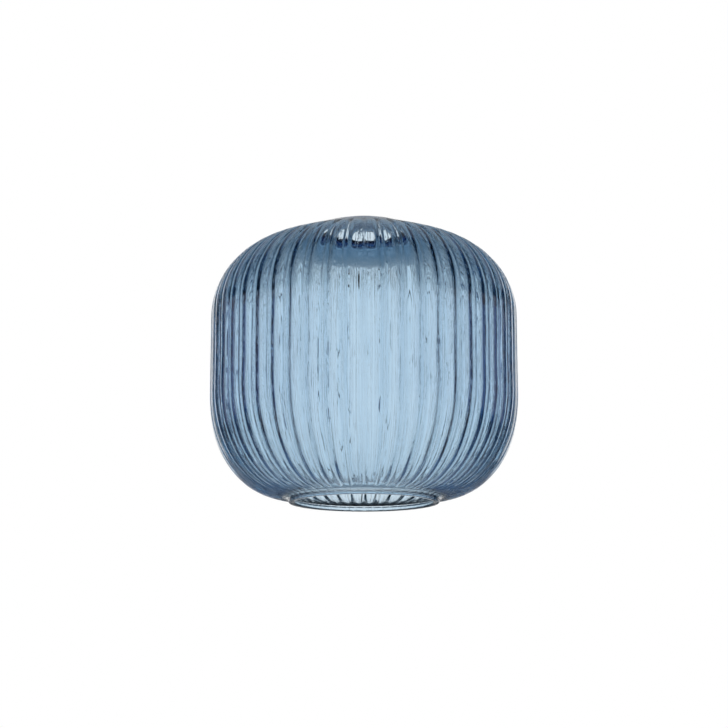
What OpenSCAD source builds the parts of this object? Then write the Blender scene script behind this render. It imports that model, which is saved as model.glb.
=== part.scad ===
// Ribbed glass shade for a pendant lamp: one moulded piece, hung from the round hole in its crown.
// The origin is the centre of the bottom rim, +Z is the axis of the shade, and units are millimetres.

/* [Body] */
// Largest outside diameter, over the ribs
body_d = 220; // [212:1:240]
// Height from the bottom rim to the seat on the crown
body_h = 200.6; // [196:0.2:220]
// Thickness of the glass, from the top of a rib to the smooth inside
glass_t = 3.4; // [3:0.1:5]

/* [Crown] */
// Diameter of the hole that the lampholder passes through
hole_d = 42; // [38:0.5:46]
// Diameter of the flat seat round the hole
seat_d = 69; // [60:0.5:74]
// Thickness of the glass at the hole
hole_t = 5.8; // [5:0.1:7]
// Thickness of the glass at the edge of the seat, where it is greatest
crown_t = 7.7; // [6.5:0.1:8.5]
// Diameter at which the dome has thinned down to the thickness of the body
thick_d = 126; // [100:1:130]
// Slope of the dome beside the seat, in degrees
dome_slope = 19.6; // [17:0.2:22]

/* [Shoulder] */
// How far the shoulder curves in
shoulder_w = 61.5; // [56:0.5:64]
// How far the shoulder curves up
shoulder_h = 59; // [54:0.5:62]

/* [Lower curve] */
// How far the lower curve comes in
lower_w = 55; // [51:0.5:55]
// How far the lower curve drops
lower_h = 73.2; // [66:0.2:76]
// Roundness of the lower curve: 2 is an ellipse and a higher number is squarer
lower_power = 2.13; // [2:0.01:2.4]

/* [Rim] */
// Outside diameter of the collar round the bottom opening
rim_d = 107; // [104:0.2:109]
// Thickness of the collar
rim_t = 4.4; // [3.8:0.1:5]
// Height of the collar, up to where the body starts
rim_h = 4; // [3.5:0.1:5]
// Radius of the hollow corner between the body and the collar
rim_fillet = 2.2; // [1:0.1:2.4]
// Radius of the fire-polished edges
edge_r = 0.9; // [0.4:0.1:1.3]

/* [Ribs] */
// Number of ribs
rib_count = 50; // [36:2:56]
// Depth of the grooves between the ribs
groove_depth = 1.3; // [0.8:0.1:1.8]
// Share of the circle that the grooves take
groove_share = 0.24; // [0.1:0.02:0.4]
// Diameter of the smooth ring of the dome, inside the ends of the ribs
smooth_d = 130; // [100:1:132]

/* [Hidden] */
$fn = 96;
curve_steps = 9;
past = 1; // how far a cutter reaches past the glass
end_rise = 0.3; // how far a groove's floor stands clear of the glass at its ends

body_r = body_d / 2;
hole_r = hole_d / 2;
seat_r = seat_d / 2;
smooth_r = smooth_d / 2;
thick_r = thick_d / 2;
rim_r = rim_d / 2;
pitch = 360 / rib_count;

// The shoulder is part of an ellipse. It starts where its slope is the dome's.
shoulder_top = atan2(shoulder_h / shoulder_w, tan(dome_slope));
shoulder_x = body_r - shoulder_w;
dome_r = shoulder_x + shoulder_w * cos(shoulder_top);
shoulder_z = body_h - (dome_r - seat_r) * tan(dome_slope) - shoulder_h * sin(shoulder_top);

lower_x = body_r - lower_w;
lower_z = rim_h + lower_h;

// Each point of an outline is [radius, height, angle of its outward normal above the horizontal].
function shoulder_point(a) = [
    shoulder_x + shoulder_w * cos(a),
    shoulder_z + shoulder_h * sin(a),
    atan2(sin(a) / shoulder_h, cos(a) / shoulder_w)
];
function lower_point(a) = let (c = pow(cos(a), 2 / lower_power), s = pow(sin(a), 2 / lower_power)) [
    lower_x + lower_w * c,
    lower_z - lower_h * s,
    -atan2(pow(s, lower_power - 1) / lower_h, pow(c, lower_power - 1) / lower_w)
];

// The outside of the body, from the seat down to the collar
body_curve = concat(
    [[seat_r, body_h, 90 - dome_slope]],
    [for (i = [0:curve_steps]) shoulder_point(shoulder_top * (1 - i / curve_steps))],
    [for (i = [0:curve_steps]) lower_point(90 * i / curve_steps)]
);

// The same curve, moved in along its normals
function moved_in(points, depth) = [
    for (p = points) [p[0] - depth * cos(p[2]), p[1] - depth * sin(p[2])]
];
function reversed(list) = [for (i = [len(list) - 1:-1:0]) list[i]];
function arc(centre, r, from, to) = [
    for (i = [0:4]) let (a = from + (to - from) * i / 4) centre + r * [cos(a), sin(a)]
];

// The inside, from the hole to the collar. The dome is thick at the seat and thins down away from it.
function dome_point(r) = [r, body_h - (r - seat_r) * tan(dome_slope), 90 - dome_slope];
inside = concat(
    moved_in([dome_point(seat_r)], crown_t),
    moved_in([dome_point(thick_r)], glass_t),
    moved_in([for (i = [1:len(body_curve) - 2]) body_curve[i]], glass_t)
);
hole_bottom = body_h - hole_t;

// Half of the shade's section: hole, outside, collar and inside
glass_section = concat(
    arc([hole_r + edge_r, hole_bottom + edge_r], edge_r, 270, 180),
    arc([hole_r + edge_r, body_h - edge_r], edge_r, 180, 90),
    [for (i = [0:len(body_curve) - 2]) [body_curve[i][0], body_curve[i][1]]],
    arc([rim_r + rim_fillet, rim_h - rim_fillet], rim_fillet, 90, 180),
    arc([rim_r - edge_r, edge_r], edge_r, 0, -90),
    arc([rim_r - rim_t + edge_r, edge_r], edge_r, 270, 180),
    reversed([for (p = inside) if (p[0] > rim_r - rim_t || p[1] > shoulder_z) p])
);

// The stretch of the body that the grooves run along. They start on the dome, outside the smooth ring.
grooved_curve = concat([dome_point(smooth_r)], [for (i = [1:len(body_curve) - 1]) body_curve[i]]);

// The floor of a groove. It comes up clear of the glass at both ends, so that the groove fades out.
groove_floor = [
    for (i = [0:len(grooved_curve) - 1])
        let (at_end = i == 0 || i == len(grooved_curve) - 1)
            moved_in([grooved_curve[i]], at_end ? -end_rise : groove_depth)[0]
];

// One groove: a wedge as wide as its share of the pitch, from outside the glass down to its floor
module groove() {
    width = pitch * groove_share;
    rotate(-width / 2)
        rotate_extrude(angle = width)
            polygon(concat(moved_in(grooved_curve, -past), reversed(groove_floor)));
}

module glass_shade() {
    color("steelblue", 0.6)
        difference() {
            rotate_extrude() polygon(glass_section);
            for (i = [0:rib_count - 1]) rotate((i + 0.5) * pitch) groove();
        }
}

glass_shade();
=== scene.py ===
"""Ribbed blue glass shade for a pendant lamp, hanging in a white studio and seen from a little below.

The look of the glass comes from its geometry: narrow grooves outside, soft waves inside that bulge in
behind them, and a crown that is thicker than the body. The scene is in metres, with +Z up the axis of
the shade and the origin at the centre of its bottom rim. The mesh is worked out in millimetres.
"""

import math

import bpy
import numpy as np
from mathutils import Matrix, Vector


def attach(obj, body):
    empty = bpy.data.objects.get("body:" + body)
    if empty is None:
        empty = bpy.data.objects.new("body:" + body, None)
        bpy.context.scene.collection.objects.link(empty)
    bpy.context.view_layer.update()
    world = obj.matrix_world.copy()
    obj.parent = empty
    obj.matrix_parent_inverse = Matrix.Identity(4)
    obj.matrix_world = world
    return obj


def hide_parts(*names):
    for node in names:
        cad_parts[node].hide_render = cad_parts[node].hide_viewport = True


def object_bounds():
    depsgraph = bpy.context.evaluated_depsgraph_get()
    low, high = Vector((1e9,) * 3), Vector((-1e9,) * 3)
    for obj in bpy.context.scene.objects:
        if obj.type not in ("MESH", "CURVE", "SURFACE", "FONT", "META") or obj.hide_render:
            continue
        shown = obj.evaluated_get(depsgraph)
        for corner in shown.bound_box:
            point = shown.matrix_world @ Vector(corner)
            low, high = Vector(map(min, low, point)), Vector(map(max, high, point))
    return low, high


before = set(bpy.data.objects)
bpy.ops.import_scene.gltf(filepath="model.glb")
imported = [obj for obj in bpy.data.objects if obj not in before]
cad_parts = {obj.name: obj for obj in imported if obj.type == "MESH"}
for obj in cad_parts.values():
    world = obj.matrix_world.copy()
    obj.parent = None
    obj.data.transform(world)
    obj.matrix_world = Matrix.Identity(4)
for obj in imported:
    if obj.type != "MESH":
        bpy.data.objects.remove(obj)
cad_low, cad_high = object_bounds()

MM = 0.001
SEED = 20

# ---------------------------------------------------------------- section of the shade, in millimetres
BOX_CLEARANCE = 0.1  # between the widest ribs and the CAD model's box
BODY_R = min(cad_high.x, cad_high.y) / MM - BOX_CLEARANCE
BODY_H = round(cad_high.z / MM, 1)
HOLE_R = 21.0
HOLE_EDGE = 1.3  # radius of the hole's rounded edges
SEAT_R = 34.5  # of the flat ring round the hole
DOME_SLOPE = math.radians(19.6)
SHOULDER = (61.5, 59.0)  # how far the shoulder curves in, and up
LOWER = (55.0, 73.2)  # how far the lower curve comes in, and drops
LOWER_POWER = 2.13  # 2 is an ellipse, and a higher number is squarer
RIM_R, RIM_T, RIM_H = 53.5, 4.4, 4.0  # radius, thickness and height of the collar
RIM_EDGE = 0.9  # radius of the collar's rounded edges
RIM_FILLET = 2.2  # radius of the hollow corner between the body and the collar

WALL = 2.9  # glass in the body
CROWN_WALL = 7.7  # glass at the edge of the seat
THINNING = 30.0  # length along the dome over which the glass thins down
UNDER_CROWN_SLOPE = math.radians(8.0)

# ---------------------------------------------------------------- rings of the mesh, in millimetres
SHOULDER_POINTS, LOWER_POINTS = 80, 90  # of the smooth curves, before they are cut into even steps
RING_STEP = 3.9
INSIDE_SKIP = 2  # the inside of the thin glass keeps every second ring
SEAT_RINGS = (26.0, 30.0)  # radii
COLLAR_RING = 2.6  # height of the ring half way up the inside of the collar
COLLAR_GAP = 0.6  # radius that the first ring of the inside keeps clear of the collar's
EDGE_STEPS, FILLET_STEPS, UNDER_CROWN_STEPS = 4, 5, 5

# ---------------------------------------------------------------- grooves of the outside, in millimetres
RIBS = 50
FIRST_GROOVE = math.radians(-90.0)
GROOVE_DEPTH = 1.1
GROOVE_SPAN = (0.85, 1.1)  # the least and the most of that depth that a groove has
FIRST_DEPTH = 0.45  # the first groove's share of it, because the middle of the front is smoother
GROOVE_POWER = 2.0  # 2 is a bell, and a higher number has a flatter floor and steeper flanks
GROOVE_DEEPENING = 0.6  # how grooves deepen where the shade narrows: a power of its radius
GROOVE_WIDTH = 0.07  # half the width of a groove, as a share of the pitch
GROOVE_SPREAD = 1.8  # how that share grows where the shade narrows: a power of its radius
WIDEST_GROOVE = 0.22
GROOVE_START = 28.6  # along the dome, from the seat
GROOVE_FADE_IN = 7.0
GROOVE_FADE_OUT = 7.0
# How grooves stray sideways on their way down, as the sum of waves: the share of the pitch that each
# adds, its length in millimetres per radian, and which of the groove's random phases it has
GROOVE_WANDER = ((0.012, 17.0, 0), (0.010, 7.3, 1))
# Places of mesh columns to both sides of the middle of a groove, in its half widths. Four more lie on
# the middle of the groove, on the top of the rib, and between that top and the last of these.
COLUMNS = (0.4, 0.72, 0.98, 1.24, 1.6)
COLUMNS_PER_RIB = 2 * len(COLUMNS) + 4

# ---------------------------------------------------------------- waves of the inside, in millimetres
INSIDE_DEPTH = 1.5
INSIDE_POWER = 1.4  # 1 is a cosine, and a higher number has narrower crests
INSIDE_SHALLOWING = 0.7  # how waves flatten where the shade narrows: a power of its radius
INSIDE_FADE_IN = 30.0
INSIDE_STRAY = 0.03  # share of the pitch
INSIDE_WANDER = ((1.0, 11.0, 2), (0.6, 5.1, 0))  # shares of that stray, lengths and phases

# ---------------------------------------------------------------- the glass
GLASS_IOR = 1.5
ABSORPTION_COLOR = (0.02, 0.47, 0.755)
ABSORPTION = 114.0
# Unevenness of the surface: cells of a noise per radian round the shade and per metre down it, its
# detail, and its height in metres
FINE_STREAKS = (70, 6, 2.0, 0.000010)
BROAD_STREAKS = (18, 9, 1.0, 0.00006)
# Creases lie along the level lines of one noise, and a second one breaks them into dots
CREASE_CELLS = (45, 6, 1.0)
CREASE_WIDTH = 0.04
CREASE_BREAKS = (50, 240, 0.0)
CREASE_GAPS = (0.46, 0.62)
CREASES = 0.00006  # height where a crease is unbroken, in metres
LINES = 0.000012  # height that is left in its gaps
# Bubbles: cells per radian and per metre, the level of noise that picks a cell, and their size in it
BUBBLE_CELLS = (24.0, 36.0)
BUBBLES_FROM = (0.55, 0.56)
BUBBLE_RADIUS = (0.04, 0.09)
BUBBLES = 0.00012  # height, in metres

# ---------------------------------------------------------------- the floor, in metres
FLOOR_SIZE = 3.0
FLOOR_DROP = 1.0  # below the rim
FLOOR_COLOR = (0.75, 0.75, 0.75)
FLOOR_GLOW = 0.35

# ---------------------------------------------------------------- the studio, in degrees
# Sides are measured from straight behind the shade, the same to left and right, and so are FROM and TO.
# Tops and bottoms are measured from the horizon.
BACKDROP = (1.0, 1.0, 1.0)
BACKDROP_SIDE, BACKDROP_BOTTOM, BACKDROP_TOP = 28.0, -5.0, 20.5
SIDE_WALLS = (0.46, 0.46, 0.56)
WALLS_FROM, WALLS_TO, WALLS_BOTTOM, WALLS_TOP = 50.0, 150.0, -5.0, 17.0
CEILING = (0.32, 0.36, 0.40)
CEILING_SIDE = 50.0
DARK = (0.010, 0.012, 0.016)  # the gaps between the parts of the studio
LOW = (0.035, 0.06, 0.09)  # below the horizon
LOW_TOP = -4.0
LOW_BACK = (0.17, 0.19, 0.22)  # further down
LOW_BACK_TOP = -14.0
LOW_FRONT = (0.6, 0.6, 0.62)  # below the horizon in front of the shade
LOW_FRONT_FROM, LOW_FRONT_TOP = 90.0, -5.0
FACING = (0.6, 0.6, 0.62)  # the backdrop that faces the shade, for the views from behind
FACING_FROM, FACING_BOTTOM, FACING_TOP = 150.0, -6.0, 40.0
ALL_ROUND = 200.0  # further than straight in front of the shade

# ---------------------------------------------------------------- the camera
LOOK_UP = math.radians(11.5)
DISTANCE = 1.265
AIM_HEIGHT = 0.1002
LENS, SENSOR = 87.2, 36
FAR = 100


# ================================================================ geometry
def along(points):
    """Length along a polyline up to each of its points."""
    return np.concatenate([[0.0], np.cumsum(np.hypot(*np.diff(points, axis=0).T))])


def resampled(points, step):
    """The polyline cut into even steps, with the length along it."""
    length = along(points)
    s = np.linspace(0, length[-1], int(round(length[-1] / step)) + 1)
    return np.stack([np.interp(s, length, points[:, k]) for k in (0, 1)], 1), s


def smoothstep(x):
    x = np.clip(x, 0, 1)
    return x * x * (3 - 2 * x)


def outside_curve():
    """Radius and height of the outside, from the edge of the seat down to the top of the collar."""
    slope = math.tan(DOME_SLOPE)
    top = math.atan2(SHOULDER[1] / SHOULDER[0], slope)
    shoulder_x = BODY_R - SHOULDER[0]
    dome_r = shoulder_x + SHOULDER[0] * math.cos(top)
    shoulder_z = BODY_H - (dome_r - SEAT_R) * slope - SHOULDER[1] * math.sin(top)
    lower_x, lower_z = BODY_R - LOWER[0], RIM_H + LOWER[1]
    points = [(SEAT_R, BODY_H)]
    for a in np.linspace(top, 0, SHOULDER_POINTS):
        points.append((shoulder_x + SHOULDER[0] * math.cos(a), shoulder_z + SHOULDER[1] * math.sin(a)))
    for a in np.linspace(0, math.pi / 2, LOWER_POINTS):
        c, s = max(math.cos(a), 0) ** (2 / LOWER_POWER), math.sin(a) ** (2 / LOWER_POWER)
        points.append((lower_x + LOWER[0] * c, lower_z - LOWER[1] * s))
    return np.array(points)


def outward_normals(curve):
    t = np.gradient(curve, axis=0)
    t /= np.linalg.norm(t, axis=1)[:, None]
    return np.stack([-t[:, 1], t[:, 0]], 1)


def arc(centre, radius, start, end, steps=EDGE_STEPS):
    """Points round a rounded edge or a hollow corner, with the angles in degrees."""
    a = np.radians(np.linspace(start, end, steps + 1))
    return [(centre[0] + radius * math.cos(x), centre[1] + radius * math.sin(x)) for x in a]


class Ribs:
    """The grooves of the outside and the waves of the inside. Each differs a little from the next."""

    def __init__(self, total):
        rng = np.random.default_rng(SEED)
        self.total = total
        self.depth = rng.uniform(*GROOVE_SPAN, RIBS)
        self.depth[0] = FIRST_DEPTH
        self.phase = rng.uniform(0, 2 * math.pi, (RIBS, 3))
        self.groove = np.repeat(np.arange(RIBS), COLUMNS_PER_RIB)
        self.plain = self.outside_angles(0.0, BODY_R)

    def fade(self, s, fade_in):
        """Share of the full depth at a length along the body: none on the dome and at the collar."""
        start = smoothstep((s - GROOVE_START) / fade_in)
        end = np.clip((self.total - s) / GROOVE_FADE_OUT, 0, 1)
        return start * end

    def wander(self, s, waves):
        """How far the middle of each column's groove strays sideways."""
        return sum(amount * np.sin(s / length + self.phase[self.groove, k]) for amount, length, k in waves)

    def around(self, across, stray):
        """Angle of each column. Columns stray with their groove, and stay put on top of the ribs."""
        places = self.groove + across + stray * (1 - 2 * np.abs(across))
        return FIRST_GROOVE + 2 * math.pi / RIBS * places

    def width(self, r):
        """Half the width of a groove, as a share of the pitch."""
        return min(GROOVE_WIDTH * (BODY_R / r) ** GROOVE_SPREAD, WIDEST_GROOVE)

    def across(self, r):
        """Places of the outside's columns, as shares of the pitch from the middle of their groove."""
        side = [c * self.width(r) for c in COLUMNS]
        side.append((side[-1] + 0.5) / 2)
        return np.tile([-0.5, *[-c for c in reversed(side)], 0.0, *side], RIBS)

    def outside_angles(self, s, r):
        return self.around(self.across(r), self.wander(s, GROOVE_WANDER))

    def outside_depth(self, s, r):
        """How deep the outside is cut at each column."""
        a = np.abs(self.across(r)) / self.width(r)
        deep = GROOVE_DEPTH * (BODY_R / r) ** GROOVE_DEEPENING
        return self.fade(s, GROOVE_FADE_IN) * deep * self.depth[self.groove] * np.exp(-(a**GROOVE_POWER))

    def inside(self, s, r):
        """Angle of each column of the inside, and how far its wave bulges in there."""
        across = np.tile(np.arange(COLUMNS_PER_RIB) / COLUMNS_PER_RIB - 0.5, RIBS)
        angle = self.around(across, INSIDE_STRAY * self.wander(s, INSIDE_WANDER))
        wave = (0.5 + 0.5 * np.cos(2 * math.pi * across)) ** INSIDE_POWER
        deep = INSIDE_DEPTH * min(r / BODY_R, 1.0) ** INSIDE_SHALLOWING
        return angle, deep * self.fade(s, INSIDE_FADE_IN) * self.depth[self.groove] * wave


def glass_rings():
    """Rings of points round the glass: hole, seat, outside, collar, inside, crown, back to the hole."""
    curve, s = resampled(outside_curve(), RING_STEP)
    normals = outward_normals(curve)
    ribs = Ribs(s[-1])

    def ring(r, z, angle=ribs.plain):
        r, z = np.broadcast_to(r, angle.shape), np.broadcast_to(z, angle.shape)
        return np.stack([r * np.cos(angle), r * np.sin(angle), z], 1)

    # The hole's upper edge, the seat and the outside
    hole_edge_r = HOLE_R + HOLE_EDGE
    rings = [ring(*p) for p in arc((hole_edge_r, BODY_H - HOLE_EDGE), HOLE_EDGE, 180, 90)]
    rings += [ring(r, BODY_H) for r in SEAT_RINGS]
    for (r, z), (nr, nz), length in zip(curve, normals, s):
        d = ribs.outside_depth(length, r)
        rings.append(ring(r - nr * d, z - nz * d, ribs.outside_angles(length, r)))

    # The collar. Its hollow corner takes the place of the last ring of the outside.
    inner_rim = RIM_R - RIM_T
    corner = (RIM_R + RIM_FILLET, curve[-1, 1] - RIM_FILLET)
    rings = rings[:-1] + [ring(*p) for p in arc(corner, RIM_FILLET, 90, 180, FILLET_STEPS)]
    rings += [ring(*p) for p in arc((RIM_R - RIM_EDGE, RIM_EDGE), RIM_EDGE, 0, -90)]
    rings += [ring(*p) for p in arc((inner_rim + RIM_EDGE, RIM_EDGE), RIM_EDGE, 270, 180)]
    rings.append(ring(inner_rim, COLLAR_RING))

    # The inside, from the collar up to the edge of the crown
    wall = WALL + (CROWN_WALL - WALL) * (1 - smoothstep(s / THINNING))
    inside = curve - normals * wall[:, None]
    keep = [i for i in range(len(s)) if inside[i, 0] > inner_rim + COLLAR_GAP or s[i] < s[-1] / 2]
    keep = [i for i in keep if i % INSIDE_SKIP == 0 or s[i] < THINNING]
    for i in reversed(keep):
        angle, d = ribs.inside(s[i], curve[i, 0])
        rings.append(ring(inside[i, 0] - normals[i, 0] * d, inside[i, 1] - normals[i, 1] * d, angle))

    # Under the crown, and the hole's lower edge
    r0, z0 = inside[keep[0]]
    slope = math.tan(UNDER_CROWN_SLOPE)
    for r in np.linspace(r0, hole_edge_r, UNDER_CROWN_STEPS + 1)[1:-1]:
        rings.append(ring(r, z0 + (r0 - r) * slope))
    bottom = z0 + (r0 - HOLE_R - HOLE_EDGE) * slope
    rings += [ring(*p) for p in arc((hole_edge_r, bottom + HOLE_EDGE), HOLE_EDGE, 270, 180)]
    return np.array(rings) * MM


def closed_grid(name, rings):
    """A mesh of quads through rings of points, closed in both directions."""
    n, m = rings.shape[:2]
    i, j = np.meshgrid(np.arange(n), np.arange(m), indexing="ij")
    i2, j2 = (i + 1) % n, (j + 1) % m
    quads = np.stack([i * m + j, i2 * m + j, i2 * m + j2, i * m + j2], -1).reshape(-1, 4)
    mesh = bpy.data.meshes.new(name)
    mesh.from_pydata(rings.reshape(-1, 3).tolist(), [], quads.tolist())
    mesh.shade_smooth()
    return mesh


def glass_shade():
    shade = bpy.data.objects.new("shade", closed_grid("shade", glass_rings()))
    bpy.context.collection.objects.link(shade)
    return shade


# ================================================================ materials
class Nodes:
    """Short calls for building a node tree."""

    def __init__(self, tree):
        self.tree = tree

    def add(self, kind, inputs=None, **settings):
        node = self.tree.nodes.new(kind)
        for key, value in settings.items():
            setattr(node, key, value)
        for key, value in (inputs or {}).items():
            if isinstance(value, bpy.types.NodeSocket):
                self.tree.links.new(value, node.inputs[key])
            else:
                node.inputs[key].default_value = value
        return node

    def math(self, operation, a, b=0.0):
        return self.add("ShaderNodeMath", {0: a, 1: b}, operation=operation).outputs[0]

    def step(self, value, low, high, at_low=0.0, at_high=1.0):
        inputs = {0: value, 1: low, 2: high, 3: at_low, 4: at_high}
        return self.add("ShaderNodeMapRange", inputs, interpolation_type="SMOOTHSTEP").outputs[0]

    def mix(self, factor, a, b):
        return self.add("ShaderNodeMix", {0: factor, 6: a, 7: b}, data_type="RGBA").outputs[2]

    def split(self, vector):
        return self.add("ShaderNodeSeparateXYZ", {0: vector}).outputs

    def length(self, x, y):
        return self.math("SQRT", self.math("ADD", self.math("MULTIPLY", x, x), self.math("MULTIPLY", y, y)))

    def camera_ray(self):
        return self.add("ShaderNodeLightPath").outputs["Is Camera Ray"]


def glass_surface(n):
    """Height of the surface's unevenness: streaks and creases from the mould, and small bubbles."""
    # Places on the shade: round it by the direction from the axis, and down it by height less radius
    x, y, z = n.split(n.add("ShaderNodeTexCoord").outputs["Object"])
    radius = n.length(x, y)
    around_x, around_y = n.math("DIVIDE", x, radius), n.math("DIVIDE", y, radius)
    down = n.math("SUBTRACT", z, radius)

    def noise(per_radian, per_metre, detail):
        """A noise that goes round the shade without a seam."""
        parts = {0: n.math("MULTIPLY", around_x, per_radian), 1: n.math("MULTIPLY", around_y, per_radian)}
        parts[2] = n.math("MULTIPLY", down, per_metre)
        place = n.add("ShaderNodeCombineXYZ", parts).outputs[0]
        return n.add("ShaderNodeTexNoise", {"Vector": place, "Scale": 1.0, "Detail": detail}).outputs[0]

    def streaks(per_radian, per_metre, detail, height):
        return n.math("MULTIPLY", noise(per_radian, per_metre, detail), height)

    # Small bubbles near the surface, one in some of the cells of a grid. The seam is at the back.
    round_it = n.math("ARCTAN2", x, n.math("MULTIPLY", y, -1.0))
    parts = {0: n.math("MULTIPLY", round_it, BUBBLE_CELLS[0]), 1: n.math("MULTIPLY", down, BUBBLE_CELLS[1])}
    cells = n.add("ShaderNodeCombineXYZ", parts).outputs[0]
    cell = n.add("ShaderNodeTexVoronoi", {"Vector": cells, "Scale": 1.0}, voronoi_dimensions="2D")
    chosen = n.step(n.split(cell.outputs["Color"])[0], *BUBBLES_FROM)
    bubbles = n.math("MULTIPLY", n.step(cell.outputs["Distance"], *BUBBLE_RADIUS, 1, 0), chosen)

    height = n.math("ADD", streaks(*FINE_STREAKS), streaks(*BROAD_STREAKS))
    height = n.math("ADD", height, n.math("MULTIPLY", bubbles, BUBBLES))

    level = n.math("ABSOLUTE", n.math("SUBTRACT", noise(*CREASE_CELLS), 0.5))
    ridge = n.step(level, 0.0, CREASE_WIDTH, 1, 0)
    creases = n.math("MULTIPLY", n.step(noise(*CREASE_BREAKS), *CREASE_GAPS), CREASES)
    return n.math("ADD", height, n.math("MULTIPLY", ridge, n.math("ADD", creases, LINES)))


def blue_glass():
    """Clear glass whose blue comes from its thickness."""
    material = bpy.data.materials.new("blue_glass")
    material.use_nodes = True
    n = Nodes(material.node_tree)
    shader = material.node_tree.nodes["Principled BSDF"]
    output = material.node_tree.nodes["Material Output"]
    shader.inputs["Base Color"].default_value = (1, 1, 1, 1)
    shader.inputs["Transmission Weight"].default_value = 1.0
    shader.inputs["Roughness"].default_value = 0.0
    shader.inputs["IOR"].default_value = GLASS_IOR
    bump = n.add("ShaderNodeBump", {"Height": glass_surface(n), "Strength": 1.0, "Distance": 1.0}).outputs[0]
    material.node_tree.links.new(bump, shader.inputs["Normal"])
    absorbed = {"Color": (*ABSORPTION_COLOR, 1), "Density": ABSORPTION}
    volume = n.add("ShaderNodeVolumeAbsorption", absorbed)
    material.node_tree.links.new(volume.outputs[0], output.inputs["Volume"])
    return material


def pale_floor():
    """A plain pale floor, well below the hanging shade. It is white to the camera and dimmer to the glass."""
    bpy.ops.mesh.primitive_plane_add(size=FLOOR_SIZE, location=(0, 0, -FLOOR_DROP))
    floor = bpy.context.object
    floor.name = "floor"
    material = bpy.data.materials.new("floor")
    material.use_nodes = True
    n = Nodes(material.node_tree)
    shader = material.node_tree.nodes["Principled BSDF"]
    shader.inputs["Base Color"].default_value = (*FLOOR_COLOR, 1)
    shader.inputs["Roughness"].default_value = 0.9
    shader.inputs["Emission Color"].default_value = (1, 1, 1, 1)
    glow = n.math("MAXIMUM", n.camera_ray(), FLOOR_GLOW)
    material.node_tree.links.new(glow, shader.inputs["Emission Strength"])
    floor.data.materials.append(material)
    return floor


# ================================================================ studio
def studio():
    """A white backdrop behind the shade, dim side walls, a grey ceiling, and dark gaps between them.

    Below the horizon it is dark behind the shade, which draws the dark lines of the lower curve, and
    pale in front of it. A second backdrop faces the shade. The camera itself sees plain white all round.
    """
    world = bpy.data.worlds.new("studio")
    bpy.context.scene.world = world
    world.use_nodes = True
    world.node_tree.nodes.clear()
    n = Nodes(world.node_tree)
    x, y, z = n.split(n.add("ShaderNodeTexCoord").outputs["Generated"])
    up = n.math("ARCTAN2", z, n.length(x, y))
    aside = n.math("ABSOLUTE", n.math("ARCTAN2", x, y))

    def below(value, edge, soft=1.0):
        return n.step(value, math.radians(edge), math.radians(edge + soft), 1, 0)

    def between(value, low, high, soft=2.0):
        a, b, c = math.radians(low), math.radians(high), math.radians(soft)
        return n.math("MULTIPLY", n.step(value, a, a + c), n.step(value, b - c, b, 1, 0))

    def both(a, b):
        return n.math("MULTIPLY", a, b)

    above_backdrop = n.math("SUBTRACT", 1.0, below(up, BACKDROP_TOP))
    in_front = between(aside, LOW_FRONT_FROM, ALL_ROUND, soft=4)
    walls = both(between(aside, WALLS_FROM, WALLS_TO), between(up, WALLS_BOTTOM, WALLS_TOP))
    backdrop = both(between(up, BACKDROP_BOTTOM, BACKDROP_TOP, soft=1), below(aside, BACKDROP_SIDE, soft=1.5))
    facing = both(between(aside, FACING_FROM, ALL_ROUND, soft=4), between(up, FACING_BOTTOM, FACING_TOP))
    color = (*DARK, 1)
    for region, paint in (
        (below(up, LOW_TOP), LOW),
        (below(up, LOW_BACK_TOP, soft=2), LOW_BACK),
        (both(in_front, below(up, LOW_FRONT_TOP)), LOW_FRONT),
        (both(above_backdrop, below(aside, CEILING_SIDE, soft=15)), CEILING),
        (walls, SIDE_WALLS),
        (backdrop, BACKDROP),
        (facing, FACING),
        (n.camera_ray(), BACKDROP),
    ):
        color = n.mix(region, color, (*paint, 1))
    background = n.add("ShaderNodeBackground", {"Color": color})
    output = n.add("ShaderNodeOutputWorld")
    world.node_tree.links.new(background.outputs[0], output.inputs[0])
    bpy.context.scene.view_settings.view_transform = "Standard"


# ================================================================ camera
def camera():
    """Looks up at the shade from below its rim."""
    ahead = Vector((0, math.cos(LOOK_UP), math.sin(LOOK_UP)))
    data = bpy.data.cameras.new("camera")
    data.sensor_width, data.lens, data.clip_end = SENSOR, LENS, FAR
    cam = bpy.data.objects.new("camera", data)
    bpy.context.collection.objects.link(cam)
    cam.location = Vector((0, 0, AIM_HEIGHT)) - ahead * DISTANCE
    cam.rotation_euler = ahead.to_track_quat("-Z", "Y").to_euler()
    bpy.context.scene.camera = cam


# ================================================================ the scene
shade = glass_shade()
shade.data.materials.append(blue_glass())
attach(shade, "root")
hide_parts("glass_shade")
pale_floor()
studio()
camera()
